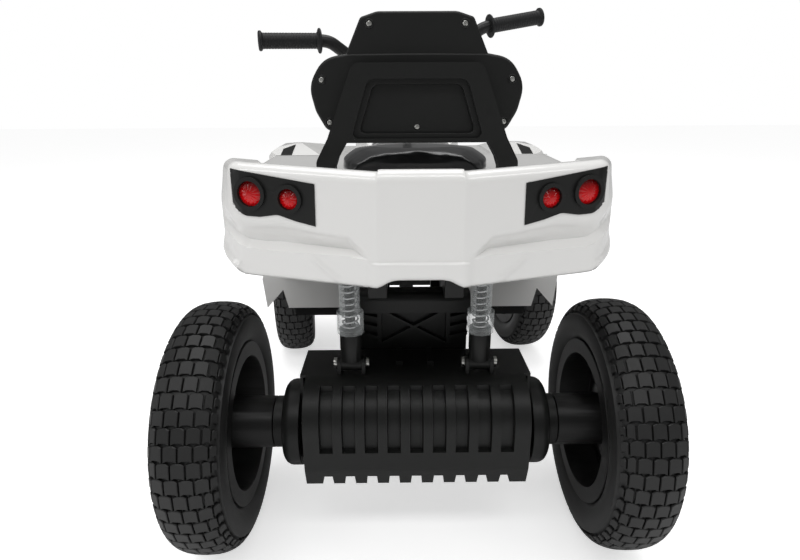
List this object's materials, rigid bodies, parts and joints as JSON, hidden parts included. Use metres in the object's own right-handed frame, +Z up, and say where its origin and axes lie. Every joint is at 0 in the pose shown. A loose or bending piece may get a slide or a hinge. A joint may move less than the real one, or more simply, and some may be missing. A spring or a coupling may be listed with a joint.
{
  "type": "kids quad bike",
  "caption": "Battery ride-on quad bike for a child, with block-tread tyres, sprung ribbed rear axle, white bodywork, padded seat and backrest, and handlebar steering.",
  "frame": {"origin": "on the ground, at the middle of the length and the width", "axes": "+Y forward, towards the handlebar and front bumper; +X to the rider's right; +Z up"},
  "size_m": [0.6936, 1.025, 0.7824],
  "materials": {
    "white_plastic": "glossy moulded white plastic",
    "black_plastic": "grained moulded black plastic",
    "black_steel": "black powder-coated steel",
    "zinc_steel": "zinc-plated steel",
    "tyre_rubber": "block-tread rubber",
    "rim_plastic": "satin black moulded wheel",
    "seat_skin": "padded black leatherette",
    "red_lens": "red lens plastic",
    "clear_plastic": "clear plastic sleeve",
    "head_lens": "clear headlamp lens",
    "grip_rubber": "ribbed rubber",
    "gear_plastic": "nylon gear",
    "spring_steel": "bright spring wire",
    "red_button": "red push button"
  },
  "bodies": {
    "chassis": {"backrest_bracket": "black_plastic", "backrest_pad": "seat_skin", "backrest_screws": "zinc_steel", "backrest_shell": "black_plastic", "battery": "black_plastic", "charge_socket": "black_plastic", "column_bushes": "gear_plastic", "damper_rods": "black_plastic", "dash_panel": "black_plastic", "footwell_tub": "white_plastic", "frame_column_support": "black_steel", "frame_front_axle": "black_steel", "frame_mid_cross": "black_steel", "frame_rails": "black_steel", "frame_rear_tower": "black_steel", "front_bumper": "black_steel", "front_fender": "white_plastic", "headlamp_lenses": "head_lens", "hood": "white_plastic", "nose_grille": "black_plastic", "rear_fender": "white_plastic", "saddle": "seat_skin", "spring_guards_upper": "clear_plastic", "springs": "spring_steel", "swing_pivot_bolt": "zinc_steel", "tail_lamp_lenses": "red_lens", "tail_lamps": "black_plastic"},
    "swing": {"swing_arm": "black_plastic", "axle_housing": "black_plastic", "housing_rear_cover": "black_plastic", "housing_end_caps": "black_plastic", "axle_bearings": "zinc_steel", "drive_motor": "zinc_steel", "damper_bolts": "zinc_steel"},
    "rear_wheels": {"rear_axle": "zinc_steel", "drive_gear": "gear_plastic", "rear_rim_left": "rim_plastic", "rear_rim_right": "rim_plastic", "rear_tyre_left": "tyre_rubber", "rear_tyre_right": "tyre_rubber", "rear_wheel_nuts": "zinc_steel"},
    "idler": {"idler_gear": "gear_plastic"},
    "rotor": {"motor_pinion": "zinc_steel"},
    "damper_lower": {"damper_tubes": "black_plastic", "spring_guards_lower": "clear_plastic"},
    "steering": {"steering_column": "black_steel", "handlebar": "black_steel", "grips": "grip_rubber"},
    "knuckle_l": {"knuckle_left": "black_steel", "front_wheel_nut_left": "zinc_steel"},
    "knuckle_r": {"knuckle_right": "black_steel", "front_wheel_nut_right": "zinc_steel"},
    "front_wheel_l": {"front_tyre_left": "tyre_rubber", "front_rim_left": "rim_plastic"},
    "front_wheel_r": {"front_tyre_right": "tyre_rubber", "front_rim_right": "rim_plastic"},
    "tie": {"tie_rod": "zinc_steel"},
    "throttle": {"pedal": "black_plastic"},
    "button": {"power_button": "red_button"},
    "rocker": {"direction_rocker": "black_plastic"}
  },
  "joints": [
    {"name": "swing_hinge", "type": "hinge", "parent": "chassis", "child": "swing", "pos_m": [0, -0.1675, 0.274], "axis": [-1, 0, 0], "range_deg": [0, 5], "stiffness_Nm_per_rad": 300, "springref_deg": -8.59, "deforming": ["springs"]},
    {"name": "rear_axle_spin", "type": "hinge", "parent": "swing", "child": "rear_wheels", "pos_m": [0, -0.3375, 0.175], "axis": [1, 0, 0], "continuous": true},
    {"name": "idler_spin", "type": "hinge", "parent": "swing", "child": "idler", "pos_m": [0, -0.3125, 0.2183], "axis": [1, 0, 0], "continuous": true},
    {"name": "motor_spin", "type": "hinge", "parent": "swing", "child": "rotor", "pos_m": [0, -0.3565, 0.2183], "axis": [1, 0, 0], "continuous": true},
    {"name": "damper_pivot", "type": "hinge", "parent": "swing", "child": "damper_lower", "pos_m": [0, -0.3475, 0.274], "axis": [-1, 0, 0], "range_deg": [-5, 0]},
    {"name": "steer", "type": "hinge", "parent": "chassis", "child": "steering", "pos_m": [0, 0.2885, 0.215], "axis": [0, -0.342, 0.9397], "range_deg": [-46, 14]},
    {"name": "steer_left", "type": "hinge", "parent": "chassis", "child": "knuckle_l", "pos_m": [-0.243, 0.3125, 0.175], "axis": [0, 0, 1], "range_deg": [-23, 7]},
    {"name": "steer_right", "type": "hinge", "parent": "chassis", "child": "knuckle_r", "pos_m": [0.243, 0.3125, 0.175], "axis": [0, 0, 1], "range_deg": [-23, 7]},
    {"name": "tie_rod_pivot", "type": "hinge", "parent": "knuckle_l", "child": "tie", "pos_m": [-0.23604, 0.26299, 0.209], "axis": [0, 0, 1], "range_deg": [-7, 23]},
    {"name": "wheel_left_spin", "type": "hinge", "parent": "knuckle_l", "child": "front_wheel_l", "pos_m": [-0.28261, 0.30693, 0.175], "axis": [0.9903, 0.1392, 0], "continuous": true},
    {"name": "wheel_right_spin", "type": "hinge", "parent": "knuckle_r", "child": "front_wheel_r", "pos_m": [0.28261, 0.31807, 0.175], "axis": [0.9903, 0.1392, 0], "continuous": true},
    {"name": "throttle_hinge", "type": "hinge", "parent": "chassis", "child": "throttle", "pos_m": [0.152, 0.0085, 0.268], "axis": [-1, 0, 0], "range_deg": [0, 15], "stiffness_Nm_per_rad": 0.6, "springref_deg": -6.88},
    {"name": "power_press", "type": "slide", "parent": "chassis", "child": "button", "axis": [0, 0, -1], "range_m": [0, 0.003], "stiffness_N_per_m": 300, "springref_m": -0.002},
    {"name": "direction_rock", "type": "hinge", "parent": "chassis", "child": "rocker", "pos_m": [0.0225, 0.2145, 0.5772], "axis": [1, 0, 0], "range_deg": [-8, 8]}
  ],
  "couplings": [
    {"joint": "idler_spin", "follows": "rear_axle_spin", "ratio": -2.5714},
    {"joint": "motor_spin", "follows": "rear_axle_spin", "ratio": 5.5102},
    {"joint": "damper_pivot", "follows": "swing_hinge", "ratio": -1},
    {"joint": "steer_left", "follows": "steer", "ratio": 0.5},
    {"joint": "steer_right", "follows": "steer", "ratio": 0.5},
    {"joint": "tie_rod_pivot", "follows": "steer", "ratio": -0.5}
  ]
}
